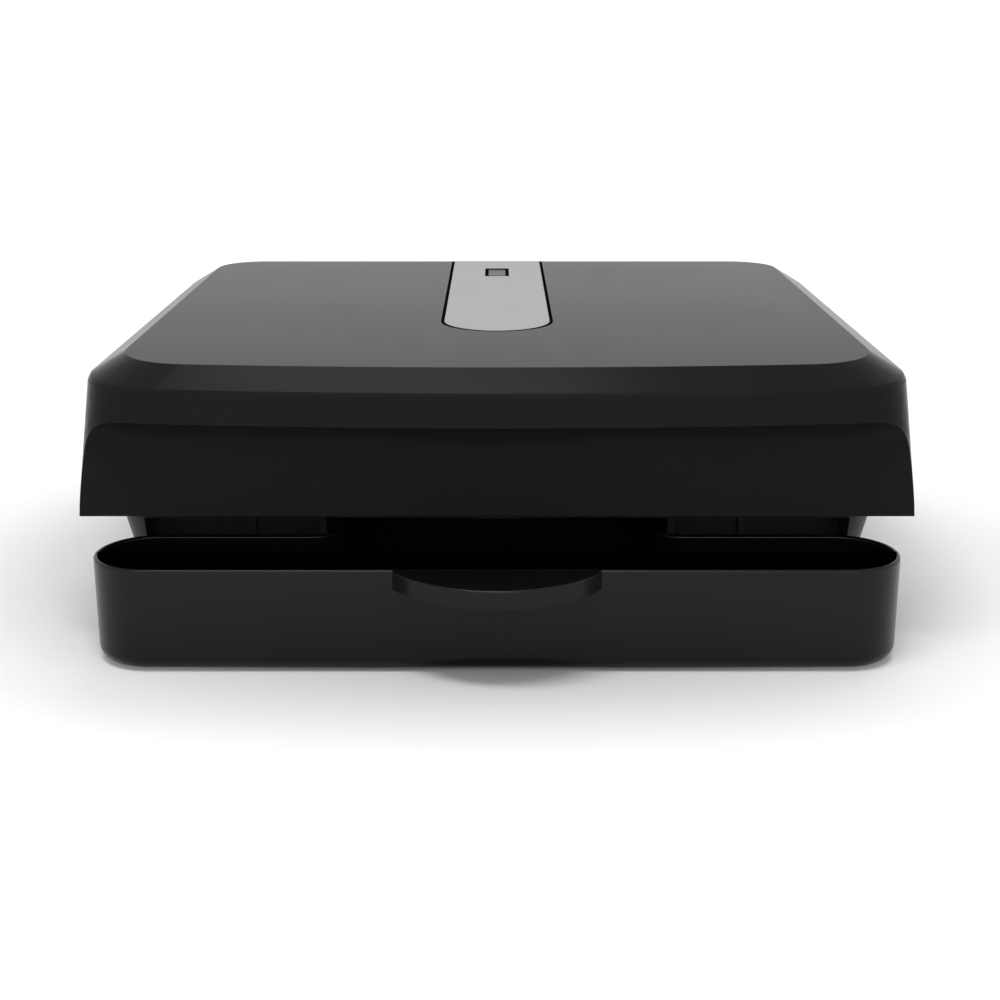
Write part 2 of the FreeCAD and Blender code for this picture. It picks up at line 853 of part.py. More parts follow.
lid_shell = cut(
    "lid_shell",
    lid_outer,
    lid_inner,
    recess_form("recess", at.recess_depth, recess_z, at.recess_radius),
    *mirrored("ear_slot", ear_slot, at.ear_offset),
    *mirrored("pin_window", pin_window, at.ear_offset),
)
lid_blank = fuse(
    "lid_blank",
    [
        lid_shell,
        *posts("lid_boss", lid_boss_places, clip_top_z, ceiling_z + 1, at.boss_radius),
        *posts("shield_post", shield_places, upper_shield_z, ceiling_z + 1, at.boss_radius),
        *posts("holder_post", holder_places, holder_z, ceiling_z + 1, at.holder_post_radius),
        *mirrored("cheeks", cheek_pair, at.ear_offset),
    ],
)
insert_floor_z = top_z - at.insert_recess
lid_limits = [lid_form("lid_limit"), *mirrored("cheek_limit", cheek_pair, at.ear_offset)]
lid_trimmed = common("lid_trimmed", lid_blank, fuse("lid_limits", lid_limits))
node(
    cut(
        "lid_finished",
        lid_trimmed,
        tongue_prism("insert_seat", at.insert_groove, insert_floor_z, top_z + 1),
        pilot_block("pilot_hole", at.pilot_clearance, ceiling_z - 1, top_z),
        *mirrored("pin_bore", pin_bore, at.ear_offset),
        *posts("lid_pilot", lid_boss_places, clip_top_z - 1, clip_top_z + hole_depth,
               at.screw_radius),
        *posts("shield_pilot", shield_places, upper_shield_z - 1, upper_shield_z + hole_depth,
               at.screw_radius),
        *posts("holder_pilot", holder_places, holder_z - 1, ceiling_z, at.screw_radius),
    ),
    "lid_cover",
)

# Trim insert, pilot window and lamp
insert_top_z = top_z + at.insert_proud
insert_blank = tongue_prism("insert_blank", as_size(0), insert_floor_z, insert_top_z)
insert_hole = pilot_block("insert_hole", at.pilot_clearance, ceiling_z, insert_top_z + 1)
node(cut("insert_finished", insert_blank, insert_hole), "top_insert")
bezel_blank = fuse(
    "bezel_blank",
    [
        pilot_block("bezel_tube", 0, lens_z, insert_top_z),
        pilot_block("bezel_flange", at.pilot_lens_flange, lens_z, ceiling_z),
    ],
)
bezel_bore = pilot_block("bezel_bore", -at.pilot_bezel_wall, lens_z - 1, insert_top_z + 1)
node(cut("bezel_finished", bezel_blank, bezel_bore), "pilot_bezel")
node(
    fuse(
        "lens_finished",
        [
            pilot_block("lens_block", -at.pilot_bezel_wall, lens_z - at.pilot_flange_thickness,
                        insert_top_z - at.pilot_clearance),
            pilot_block("lens_flange", at.pilot_lens_flange, lens_z - at.pilot_flange_thickness,
                        lens_z),
        ],
    ),
    "pilot_lens",
)
lamp_start = (as_size(0), back(pilot_middle - at.lamp_length / 2), lamp_z)
node(cylinder("lamp", at.lamp_radius, lamp_start, at.lamp_length, "y"), "pilot_lamp")
holder_half = at.holder_length / 2
node(
    cut(
        "holder_finished",
        block("holder_blank", (-holder_half, holder_half),
              (back(pilot_middle - at.holder_width / 2), back(pilot_middle + at.holder_width / 2)),
              (holder_z - at.holder_thickness, holder_z)),
        cylinder("lamp_groove", at.lamp_radius + at.lamp_groove_gap,
                 (as_size(0), back(pilot_middle - at.holder_width), lamp_z),
                 2 * at.holder_width, "y"),
        *posts("holder_hole", holder_places, holder_z - at.holder_thickness - 1, holder_z + 1,
               hole_radius),
    ),
    "lamp_holder",
)
node(screws("holder_screws", holder_places, holder_z - at.holder_thickness), "lamp_holder_screws")

# Lid frame and the clips that hold the upper plate
frame_edge = at.lid_wall + 2 * at.frame_clearance
frame_front = at.recess_depth + at.lid_wall + at.frame_clearance
frame_form = new_body("frame_form")
frame_sketch = outline(
    frame_form, "frame_outline", frame_z, at.lid_width / 2 - frame_edge,
    back(at.lid_front + frame_edge), back(at.lid_rear - frame_edge),
    at.lid_front_radius - frame_edge, at.lid_rear_radius - frame_edge,
    at.lid_crown_radius - frame_edge,
)
pad(frame_form, frame_sketch, "frame_pad", at.frame_thickness)
frame_blank = common(
    "frame_blank",
    frame_form,
    block("frame_area", (-at.lid_width, at.lid_width), (back(frame_front), overall_rear),
          (frame_z, frame_top_z)),
)
node(
    cut(
        "frame_finished",
        frame_blank,
        plate_prism("frame_opening", -at.plate_edge_gap, frame_z - 1, frame_top_z + 1),
        *mirrored("frame_notch", ear_slot, at.ear_offset),
        *posts("frame_hole", lid_boss_places, frame_z - 1, frame_top_z + 1, hole_radius),
        *posts("frame_sink", lid_boss_places, frame_z - 1, frame_z + at.screw_head_height,
               head_hole_radius),
    ),
    "lid_frame",
)
node(
    screws("frame_screws", lid_boss_places, frame_z + at.screw_head_height),
    "lid_frame_screws",
)


def plate_clip(name, place_):
    """A sheet clip from a lid boss over the edge of the upper plate."""
    x, y = place_
    edge = plate_width / 2 - at.clip_reach + 2
    outer = lid_boss_offset + at.boss_radius
    low, high = (edge, outer) if float(x) > 0 else (-outer, -edge)
    sheet_ = block(name + "_sheet", (low, high), (y - at.clip_width / 2, y + at.clip_width / 2),
                   (frame_top_z, clip_top_z))
    return cut(name, sheet_, post(name + "_hole", place_, frame_top_z - 1, clip_top_z + 1,
                                  hole_radius))


clips = [plate_clip(f"plate_clip_{i}", spot) for i, spot in enumerate(lid_boss_places, 1)]
node(group("plate_clips", clips), "upper_plate_clips")


# Grill plates
def plate_base(name, low, high, back_low, back_high, face_low, face_high):
    """The flanged plate with its thicker middle and the hollow that the ribs stand in."""
    return cut(
        name,
        fuse(
            name + "_blank",
            [
                plate_prism(name + "_flange", 0, low, high),
                plate_prism(name + "_web", at.plate_web_margin, back_low, back_high),
            ],
        ),
        plate_prism(name + "_field", at.plate_field_margin, face_low, face_high),
    )


def rib_row(name, low, high):
    """The row of ribs that run from the front to the back."""
    body = new_body(name)
    first = -(at.rib_count - 1) * at.rib_pitch / 2
    sketch = rectangle(
        body, name + "_section", "XY_Plane", low,
        (first - at.rib_width / 2, back(at.plate_front + at.rib_end_margin)),
        (first + at.rib_width / 2, back(at.plate_rear - at.rib_end_margin)),
    )
    rib = pad(body, sketch, name + "_rib", as_size(high) - low)
    row = body.newObject("PartDesign::LinearPattern", name + "_pattern")
    row.Originals = [rib]
    row.Direction = (sketch, ["H_Axis"])
    bind(row, "Length", (at.rib_count - 1) * at.rib_pitch)
    bind(row, "Occurrences", at.rib_count)
    body.Tip = row
    return body


lower_field_z = lower_flange_top - at.plate_field_depth
upper_field_z = upper_flange_z + at.plate_field_depth
bite = at.plate_field_depth / 4
spout_front = at.plate_front + at.spout_inset
spout_rear = spout_front + at.spout_depth
spout_half = at.spout_width / 2
hole_half = spout_half - at.spout_wall * 2
hole_y = (back(spout_front + at.spout_wall), back(spout_rear - at.spout_wall))
spout_z = lower_back_z - at.spout_drop
lower_boss_z = lower_back_z - at.pillar_drop
lower_blank = fuse(
    "lower_blank",
    [
        plate_base("lower_base", lower_flange_z, lower_flange_top, lower_back_z,
                   lower_flange_z, lower_field_z, lower_flange_top + 1),
        rib_row("lower_ribs", lower_field_z - bite, lower_rib_tip),
        block("spout_block", (-spout_half, spout_half), (back(spout_front), back(spout_rear)),
              (spout_z, lower_flange_z)),
        *posts("lower_post", pillar_places, lower_boss_z, lower_back_z + bite,
               at.boss_radius),
        *posts("lower_clamp_post", clamp_places, lower_clamp_z, lower_back_z + bite,
               at.boss_radius),
    ],
)
channel_half = plate_width / 2 - at.plate_field_margin - at.channel_width
node(
    cut(
        "lower_finished",
        lower_blank,
        block("spout_hole", (-hole_half, hole_half), hole_y, (spout_z - 1, lower_rib_tip)),
        block("drain_channel", (-channel_half, channel_half),
              (back(at.plate_front + at.plate_field_margin + bite), back(spout_rear)),
              (lower_field_z - at.channel_depth, lower_rib_tip)),
        *posts("lower_thread", pillar_places, lower_boss_z - 1,
               lower_boss_z + at.pillar_drop, at.screw_radius),
        *posts("lower_clamp_thread", clamp_places, lower_clamp_z - 1,
               lower_back_z + bite * 2, at.screw_radius),
    ),
    "lower_plate",
)
upper_blank = fuse(
    "upper_blank",
    [
        plate_base("upper_base", upper_flange_z, upper_flange_top, upper_flange_top,
                   upper_back_z, upper_flange_z - 1, upper_field_z),
        rib_row("upper_ribs", upper_rib_tip, upper_field_z + bite),
        *posts("upper_clamp_post", clamp_places, upper_back_z - bite, upper_clamp_z,
                   at.boss_radius),
    ],
)
node(
    cut(
        "upper_finished",
        upper_blank,
        *posts("upper_clamp_thread", clamp_places, upper_back_z - bite * 2, upper_clamp_z + 1,
               at.screw_radius),
    ),
    "upper_plate",
)


# Heating elements with their clamps and shields
def element(name, z):
    """A U-shaped tubular element with a terminal stud at each end."""
    radius = at.element_radius
    bend = at.element_bend
    x = at.element_offset
    pieces = [
        cylinder(name + "_front", radius, (-x + bend, back(at.element_front), z),
                 2 * (x - bend), "x"),
    ]
    for side, sign, turn in (("left", -1, 180), ("right", 1, 270)):
        leg_x = sign * x
        pieces.append(
            cylinder(f"{name}_{side}_leg", radius, (leg_x, back(at.element_front + bend), z),
                     at.element_rear - at.element_front - bend, "y")
        )
        pieces.append(
            cylinder(f"{name}_{side}_stud", at.terminal_radius,
                     (leg_x, back(at.element_rear - 1), z), at.terminal_length + 1, "y")
        )
        corner = doc.addObject("Part::Torus", f"{name}_{side}_bend")
        bind(corner, "Radius1", bend)
        bind(corner, "Radius2", radius)
        corner.Angle3 = 90
        place(corner, sign * (x - bend), back(at.element_front + bend), z,
              FreeCAD.Rotation(FreeCAD.Vector(0, 0, 1), turn))
        pieces.append(corner)
    return fuse(name, pieces)


def clamp(name, depth, low):
    """A sheet strip across both legs of an element."""
    half = at.clamp_length / 2
    y = (back(depth - at.clamp_width / 2), back(depth + at.clamp_width / 2))
    strip = block(name + "_strip", (-half, half), y, (low, low + at.clamp_thickness))
    spots = [(sign * at.clamp_boss_offset, back(depth)) for sign in (-1, 1)]
    return cut(name, strip, *posts(name + "_hole", spots, low - 1, low + at.clamp_thickness + 1,
                                   hole_radius))


def shield(name, floor, up):
    """A shallow sheet pan; its rim goes up or down from the floor."""
    low, high = (floor, floor + at.shield_rim) if up else (floor - at.shield_rim, floor)
    sheet_ = at.shield_wall
    inner = (low + sheet_, high + 1) if up else (low - 1, high - sheet_)
    half = at.shield_width / 2
    return cut(
        name,
        prism(name + "_outside", half, at.shield_front, at.shield_rear, at.shield_radius,
              low, high),
        prism(name + "_inside", half - sheet_, at.shield_front + sheet_,
              at.shield_rear - sheet_, at.shield_radius - sheet_, *inner),
        *posts(name + "_hole", shield_places, low - 1, high + 1, hole_radius),
    )


for side, element_z, clamp_z, up in (
    ("lower", lower_element_z, lower_clamp_z - at.clamp_thickness, True),
    ("upper", upper_element_z, upper_clamp_z, False),
):
    node(element(side + "_tube", element_z), side + "_element")
    strips = [
        clamp(side + "_clamp_front", at.clamp_front_depth, clamp_z),
        clamp(side + "_clamp_rear", at.clamp_rear_depth, clamp_z),
    ]
    node(group(side + "_clamps", strips), side + "_element_clamps")
    bearing = clamp_z if up else clamp_z + at.clamp_thickness
    node(screws(side + "_clamp_set", clamp_places, bearing, up), side + "_clamp_screws")
node(shield("lower_pan", lower_shield_z, True), "lower_heat_shield")
node(shield("upper_pan", upper_shield_z, False), "upper_heat_shield")
node(
    screws("lower_pan_set", shield_places, lower_shield_z + at.shield_wall, False),
    "lower_shield_screws",
)
node(
    screws("upper_pan_set", shield_places, upper_shield_z - at.shield_wall),
    "upper_shield_screws",
)

# Thermostat and fuse on the back of the lower plate, terminal block on the floor
thermostat_spot = (as_size(0), back(at.thermostat_depth))
thermostat_z = lower_back_z - at.thermostat_height
node(
    fuse(
        "thermostat_finished",
        [
            post("thermostat_can", thermostat_spot, thermostat_z, lower_back_z,
                 at.thermostat_radius),
            post("thermostat_cap", thermostat_spot, thermostat_z - 1, thermostat_z,
                 at.thermostat_radius / 2),
        ],
    ),
    "thermostat",
)
fuse_z = lower_back_z - at.fuse_radius
fuse_start = (at.fuse_offset - at.fuse_length / 2, back(at.thermostat_depth), fuse_z)
node(cylinder("fuse_tube", at.fuse_radius, fuse_start, at.fuse_length, "x"), "thermal_fuse")
block_half = at.terminal_block_length / 2
block_x = at.terminal_block_offset
block_top_z = floor_z + at.terminal_block_height
terminal_spots = [
    (block_x + index * at.terminal_pitch, back(at.terminal_block_depth)) for index in (-1, 0, 1)
]
node(
    cut(
        "terminal_finished",
        block("terminal_blank", (block_x - block_half, block_x + block_half),
              (back(at.terminal_block_depth - at.terminal_block_width / 2),
               back(at.terminal_block_depth + at.terminal_block_width / 2)),
              (floor_z, block_top_z)),
        *posts("terminal_well", terminal_spots, floor_z + at.terminal_block_height / 2,
               block_top_z + 1, at.lead_radius * 2),
    ),
    "terminal_block",
)

# Cord gland in the back wall
gland_seat_y = back(at.gland_seat_rear)
gland_x = at.gland_offset
gland_z = at.gland_centre_height
gland_depth = at.gland_seat_length + at.gland_inner_length
node(
    cut(
        "gland_finished",
        fuse(
            "gland_blank",
            [
                cylinder("gland_sleeve", at.gland_radius, (gland_x, gland_seat_y - gland_depth,
                                                           gland_z), gland_depth, "y"),
                cylinder("gland_flange", at.gland_flange_radius, (gland_x, gland_seat_y, gland_z),
                         at.gland_flange_thickness, "y"),
            ],
        ),
        cylinder("gland_bore", at.gland_bore_radius, (gland_x, gland_seat_y - gland_depth - 1,
                                                      gland_z),
                 gland_depth + at.gland_flange_thickness + 2, "y"),
    ),
    "cord_gland",
)


# Base housing
def base_form(name, inset, low, high):
    """The tapered form of the base between two heights, drawn in by inset."""
    body = new_body(name)
    full = base_rim_z - at.foot_height
    sketches = []
    for index, z in enumerate((as_size(low), as_size(high))):
        share = (base_rim_z - z) / full
        sketches.append(
            outline(
                body, f"{name}_level_{index}", z,
                base_width / 2 - at.base_side_taper * share - inset,
                back(at.base_front + at.base_front_taper * share + inset),
                back(at.base_rear - at.base_rear_taper * share - inset),
                at.base_front_radius - inset, at.base_rear_radius - inset,
            )
        )
    loft(body, sketches, name + "_loft")
    return body


ledge_z = lower_flange_z - at.base_ledge
roof_z = lower_back_z - at.base_roof_gap
pocket_top_z = roof_z - at.base_roof
pocket_rear = at.base_front + at.pocket_depth
tunnel_wall = tunnel_half + at.tunnel_side_wall
tunnel_roof_z = tunnel_z + at.base_wall
cavity_front = pocket_rear + at.base_wall
far_x = at.lid_width / 2
front_limit_y = back(at.base_front - 5)
base_cavity = cut(
    "base_cavity",
    fuse(
        "base_space",
        [
            base_form("base_inner", at.base_wall, floor_z, ledge_z),
            plate_prism("ledge_opening", at.ledge_overlap, ledge_z - 1, lower_flange_z + 1),
        ],
    ),
    block("front_zone", (-far_x, far_x), (front_limit_y, back(cavity_front)), (0, roof_z)),
    block("tunnel_zone", (-tunnel_wall, tunnel_wall),
          (front_limit_y, back(tunnel_rear + at.base_wall)), (0, tunnel_roof_z)),
)


def side_pocket(name, side):
    """One hollow in the front of the base, from the tunnel's wall out to a corner."""
    x = (tunnel_wall, pocket_side) if side > 0 else (-pocket_side, -tunnel_wall)
    return block(name, x, (front_limit_y, back(pocket_rear)), (at.pocket_floor, pocket_top_z))


def pocket_rib(name, x):
    """An upright rib inside a front hollow, set back from the front."""
    half = at.rib_thickness / 2
    y = (back(at.base_front + at.base_front_taper + at.rib_setback), back(pocket_rear) + 1)
    return block(name, (x - half, x + half), y, (at.pocket_floor - 1, pocket_top_z + 1))


def runner(name, side):
    """The rail that one flange of the tray slides on."""
    top = tray_top_z - at.tray_flange_thickness - at.runner_clearance
    inner = at.tongue_width / 2 + at.tray_flange_width - at.runner_overlap
    outer = tunnel_half + at.base_wall / 2
    x = (inner, outer) if side > 0 else (-outer, -inner)
    return block(name, x, (back(at.runner_front), back(tunnel_rear + at.base_wall / 2)),
                 (top - at.runner_height, top))


def ear(name, x):
    """A hinge ear with a round top and an upright slot for its pin."""
    half = at.ear_width / 2
    y = (axis_y - at.ear_half_depth, axis_y + at.ear_half_depth)
    crown_z = ear_top_z - at.ear_half_depth
    radius = at.pin_radius + at.pin_slide_gap
    rise = axis_z + at.float_travel
    solid = fuse(
        name + "_blank",
        [
            block(name + "_column", (x - half, x + half), y,
                  (base_rim_z - at.ear_foot_height, crown_z)),
            cylinder(name + "_crown", at.ear_half_depth, (x - half, axis_y, crown_z),
                     at.ear_width, "x"),
        ],
    )
    return cut(
        name,
        solid,
        block(name + "_slot", (x - half - 1, x + half + 1), (axis_y - radius, axis_y + radius),
              (axis_z, rise)),
        cylinder(name + "_slot_low", radius, (x - half - 1, axis_y, axis_z),
                 at.ear_width + 2, "x"),
        cylinder(name + "_slot_high", radius, (x - half - 1, axis_y, rise),
                 at.ear_width + 2, "x"),
    )


def heel(name, x):
    """The stop behind the lid that its back wall comes down on when it is fully open."""
    near = cheek_outer + at.pin_head_thickness + 1
    low = x - near - at.heel_width if float(x) > 0 else x + near
    return fuse(
        name,
        [
            block(name + "_stop", (low, low + at.heel_width),
                  (back(at.lid_rear + at.heel_gap), overall_rear_y),
                  (base_rim_z - at.ear_foot_height, axis_z - at.heel_drop)),
            block(name + "_foot", (low, low + at.heel_width),
                  (axis_y - at.ear_half_depth, overall_rear_y),
                  (base_rim_z - at.ear_foot_height, base_rim_z)),
        ],
    )


overall_rear_y = back(overall_rear)
cover_half = at.cover_length / 2
cover_rear = at.cover_front + at.cover_depth
cover_spots = four_places(
    cover_half + at.cover_lip / 2, at.cover_front - at.cover_lip / 2,
    cover_rear + at.cover_lip / 2,
)
recess_top_z = at.foot_height + at.cover_thickness
base_shell = cut(
    "base_shell",
    base_form("base_outer", 0, at.foot_height, base_rim_z),
    base_cavity,
    plate_prism("plate_seat", -at.plate_edge_gap, lower_flange_z, base_rim_z + 1),
    side_pocket("pocket_left", -1),
    side_pocket("pocket_right", 1),
    block("pocket_middle", (-tunnel_half, tunnel_half), (front_limit_y, back(pocket_rear)),
          (0, pocket_top_z)),
    block("tunnel", (-tunnel_half, tunnel_half), (front_limit_y, back(tunnel_rear)),
          (0, tunnel_z)),
    block("spout_opening",
          (-spout_half - at.spout_gap, spout_half + at.spout_gap),
          (back(spout_front - at.spout_gap), back(spout_rear + at.spout_gap)),
          (spout_z - at.spout_gap, lower_flange_z + 1)),
    plate_prism("roof_opening", at.ledge_overlap, roof_z, lower_flange_z + 1),
)
foot_places = four_places(at.foot_offset, at.foot_front_depth, at.foot_rear_depth)
base_blank = fuse(
    "base_blank",
    [
        base_shell,
        pocket_rib("pocket_rib_left", -at.rib_offset),
        pocket_rib("pocket_rib_right", at.rib_offset),
        runner("runner_left", -1),
        runner("runner_right", 1),
        *mirrored("ear", ear, at.ear_offset),
        *mirrored("heel", heel, at.ear_offset),
        *posts("pillar", pillar_places, floor_z - 1, lower_boss_z, at.pillar_radius),
        *posts("pan_post", shield_places, floor_z - 1, lower_shield_z, at.boss_radius),
        *posts("cover_post", cover_spots, floor_z - 1, floor_z + at.cover_boss_height,
               at.boss_radius),
        cylinder("gland_seat", at.gland_seat_radius,
                 (gland_x, gland_seat_y - at.gland_seat_length, gland_z),
                 at.gland_seat_length, "y"),
    ],
)
node(
    cut(
        "base_finished",
        base_blank,
        prism("cover_opening", cover_half, at.cover_front, cover_rear, at.cover_corner_radius,
              at.foot_height - 1, floor_z + 1),
        prism("cover_recess", cover_half + at.cover_lip, at.cover_front - at.cover_lip,
              cover_rear + at.cover_lip, at.cover_corner_radius, at.foot_height - 1,
              recess_top_z),
        cylinder("gland_hole", at.gland_radius + at.pin_slide_gap,
                 (gland_x, gland_seat_y - at.gland_seat_length - 1, gland_z),
                 at.gland_seat_length + 2, "y"),
        *posts("pillar_hole", pillar_places, floor_z, lower_boss_z + 1, hole_radius),
        *posts("pillar_well", pillar_places, at.foot_height - 1,
               lower_boss_z - at.pillar_shelf, head_hole_radius),
        *posts("pan_thread", shield_places, lower_shield_z - hole_depth, lower_shield_z + 1,
               at.screw_radius),
        *posts("cover_thread", cover_spots, recess_top_z - 1,
               floor_z + at.cover_boss_height - 1, at.screw_radius),
        *posts("foot_hole", foot_places, at.foot_height - 1, floor_z + 1,
               at.foot_stem_radius + at.pin_slide_gap),
    ),
    "base_housing",
)
node(
    screws("pillar_set", pillar_places, lower_boss_z - at.pillar_shelf),
    "lower_plate_screws",
)
cover_edge = at.cover_lip - at.cover_clearance
node(
    cut(
        "cover_finished",
        prism("cover_plate", cover_half + cover_edge, at.cover_front - cover_edge,
              cover_rear + cover_edge, at.cover_corner_radius, at.foot_height, recess_top_z),
        *posts("cover_hole", cover_spots, at.foot_height - 1, recess_top_z + 1, hole_radius),
    ),
    "bottom_cover",
)
node(screws("cover_set", cover_spots, at.foot_height), "bottom_cover_screws")


def foot(name, place_):
    """A rubber foot with a stem that is pressed through the floor."""
    x, y = place_
    return fuse(
        name,
        [
            cone(name + "_pad", at.foot_tip_radius, at.foot_radius, (x, y, as_size(0)),
                 at.foot_height),
            post(name + "_stem", place_, at.foot_height - 1,
                 at.foot_height + at.foot_stem_length, at.foot_stem_radius),
        ],
    )


for name, spot in zip(
    ("foot_front_left", "foot_rear_left", "foot_front_right", "foot_rear_right"), foot_places
):
    node(foot(name + "_rubber", spot), name)


# Hinge pins
def hinge_pin(name, x):
    """A pin with a head on its right end and a groove for a clip on its left end."""
    end = cheek_outer + at.pin_end_gap
    tail = end + at.clip_thickness + at.pin_end_gap * 2
    body = fuse(
        name + "_blank",
        [
            cylinder(name + "_rod", at.pin_radius, (x - tail, axis_y, axis_z), tail + end, "x"),
            cylinder(name + "_head", at.pin_head_radius, (x + end, axis_y, axis_z),
                     at.pin_head_thickness - at.pin_end_gap, "x"),
        ],
    )
    groove = cut(
        name + "_groove",
        cylinder(name + "_groove_outer", at.pin_radius + 1,
                 (x - end - at.clip_thickness, axis_y, axis_z), at.clip_thickness, "x"),
        cylinder(name + "_groove_core", at.pin_radius - 0.5,
                 (x - end - at.clip_thickness, axis_y, axis_z), at.clip_thickness, "x"),
    )
    return cut(name, body, groove)


def pin_clip(name, x):
    """A flat clip, open to the front, round the groove of a pin."""
    end = cheek_outer + at.pin_end_gap
    start = (x - end - at.clip_thickness, axis_y, axis_z)
    mouth = at.pin_radius - 0.5
    return cut(
        name,
        cylinder(name + "_disc", at.pin_head_radius, start, at.clip_thickness, "x"),
        cylinder(name + "_hole", mouth, start, at.clip_thickness, "x"),
        block(name + "_mouth", (x - end - at.clip_thickness - 1, x - end + 1),
              (axis_y - at.pin_head_radius - 1, axis_y), (axis_z - mouth, axis_z + mouth)),
    )


for pin, side in zip(mirrored("pin", hinge_pin, at.ear_offset), ("left", "right")):
    node(pin, "hinge_pin_" + side)
node(group("clip_pair", mirrored("pin_clip", pin_clip, at.ear_offset)), "pin_clips")


# Drip tray
def tray_form(name, inset, low, high):
    """The closed form of the tray: a trough across the front and a tongue behind it."""
    body = new_body(name)
    half = at.tray_width / 2 - inset
    near = at.tray_front + inset
    far = at.tray_front + at.tray_wing_depth - inset
    round_ = (at.tray_wing_depth - 2 * inset) / 2
    wings = outline(body, name + "_wings", low, half, back(near), back(far),
                    round_ * 0.999, round_ * 0.999)
    pad(body, wings, name + "_wing_pad", as_size(high) - low)
    tongue = outline(body, name + "_tongue", low, at.tongue_width / 2 - inset,
                     back(near + at.tray_wing_depth / 4), back(at.tongue_rear - inset),
                     at.tongue_corner_radius - inset, at.tongue_corner_radius - inset)
    pad(body, tongue, name + "_tongue_pad", as_size(high) - low)
    side = float(at.tongue_width / 2 - inset)
    corner_y = float(back(far))

    def junction(edge):
        """True for the upright edge where the tongue leaves the back of a wing."""
        box = edge.BoundBox
        off = abs(abs(box.Center.x) - side) + abs(box.Center.y - corner_y)
        return box.XLength + box.YLength + off < 0.05

    fillet(body, name + "_junction", at.tray_junction_radius + inset, junction)
    fillet(body, name + "_bottom", at.tray_bottom_fillet - inset, lambda edge: level(edge, low))
    return body


def tray_flange(name, side):
    """The flange of the tongue that rides on one runner."""
    inner = at.tongue_width / 2 - at.tray_wall / 2
    outer = at.tongue_width / 2 + at.tray_flange_width
    x = (inner, outer) if side > 0 else (-outer, -inner)
    return block(name, x, (back(at.tongue_flange_front), back(at.tongue_rear)),
                 (tray_top_z - at.tray_flange_thickness, tray_top_z))


tab_radius = (at.tab_width * at.tab_width / 4 + at.tab_reach * at.tab_reach) / (2 * at.tab_reach)
tab_front = at.tray_front - at.tab_reach
tab = common(
    "tab",
    post("tab_disc", (as_size(0), back(tab_front) + tab_radius),
         tray_top_z - at.tab_thickness, tray_top_z, tab_radius),
    block("tab_area", (-at.tab_width, at.tab_width),
          (back(tab_front - 1), back(at.tray_front + at.tray_wall / 2)),
          (tray_top_z - at.tab_thickness, tray_top_z)),
)
node(
    cut(
        "tray_finished",
        fuse(
            "tray_blank",
            [
                tray_form("tray_outer", as_size(0), at.tray_lift, tray_top_z),
                tray_flange("tray_flange_left", -1),
                tray_flange("tray_flange_right", 1),
                tab,
            ],
        ),
        tray_form("tray_inner", at.tray_wall, at.tray_lift + at.tray_wall, tray_top_z + 1),
    ),
    "drip_tray",
)


# Lead wires
def lead(name, start, moves):
    """A wire along X, Y and Z from a start point: each move is an axis and where it goes to."""
    spot = list(start)
    pieces = []
    for index, (axis, goal) in enumerate(moves, 1):
        goal = as_size(goal)
        which = "xyz".index(axis)
        low, high = sorted((spot[which], goal), key=float)
        first = list(spot)
        first[which] = low
        pieces.append(
            cylinder(f"{name}_run_{index}", at.lead_radius, tuple(first), high - low, axis)
        )
        spot[which] = goal
        if index < len(moves):
            ball = doc.addObject("Part::Sphere", f"{name}_turn_{index}")
            bind(ball, "Radius", at.lead_radius)
            place(ball, *spot)
            pieces.append(ball)
    return fuse(name, pieces)


stud_end_y = back(at.element_rear + at.terminal_length) + at.lead_radius
well_z = floor_z + at.terminal_block_height / 2
thermostat_lead_z = lower_back_z - at.lead_radius * 2
thermostat_lead = lead(
    "thermostat_lead",
    (terminal_spots[2][0], terminal_spots[2][1], well_z),
    (
        ("z", thermostat_lead_z),
        ("x", as_size(0)),
        ("y", back(at.thermostat_depth + at.thermostat_radius)),
    ),
)
element_lead = lead(
    "element_lead",
    (terminal_spots[0][0], terminal_spots[0][1], well_z),
    (
        ("z", block_top_z + 4),
        ("y", stud_end_y),
        ("z", lower_element_z),
        ("x", -at.element_offset),
    ),
)
node(group("base_leads", [thermostat_lead, element_lead]), "base_wiring")
lamp_rear_y = back(pilot_middle + at.lamp_length / 2)
lamp_front_y = back(pilot_middle - at.lamp_length / 2)
rear_lead = lead(
    "lamp_rear_lead",
    (as_size(0), lamp_rear_y, lamp_z),
    (("y", stud_end_y), ("z", upper_element_z), ("x", at.element_offset)),
)
front_lead = lead(
    "lamp_front_lead",
    (as_size(0), lamp_front_y, lamp_z),
    (
        ("y", lamp_front_y - 6),
        ("x", -at.holder_length),
        ("y", stud_end_y),
        ("z", upper_element_z),
        ("x", -at.element_offset),
    ),
)
node(group("lid_leads", [rear_lead, front_lead]), "lid_wiring")

# Check and write every sub-part
doc.recompute()
for thing in doc.Objects:
    if "Invalid" in thing.State or "Error" in thing.State:
        raise RuntimeError(f"{thing.Label} is not up to date: {thing.State}")
for thing in nodes:
    shape = thing.Shape
    if shape.isNull() or not shape.isValid() or not shape.Solids:
        raise RuntimeError(f"{thing.Label} has no valid solid")
    shape.exportStep(f"parts/{thing.Label}.step")
    box = shape.BoundBox
    print(
        thing.Label, len(shape.Solids), round(shape.Volume),
        [round(value, 1) for value in (box.XMin, box.XMax, box.YMin, box.YMax, box.ZMin, box.ZMax)],
    )
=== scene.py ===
"""Sandwich grill, closed, on a pale studio floor: black satin lid and tray, silver insert.

The grill plates, elements and wiring inside have their own finishes for open poses.
"""

import json
from math import radians

import bmesh
import bpy
from mathutils import Matrix, Vector


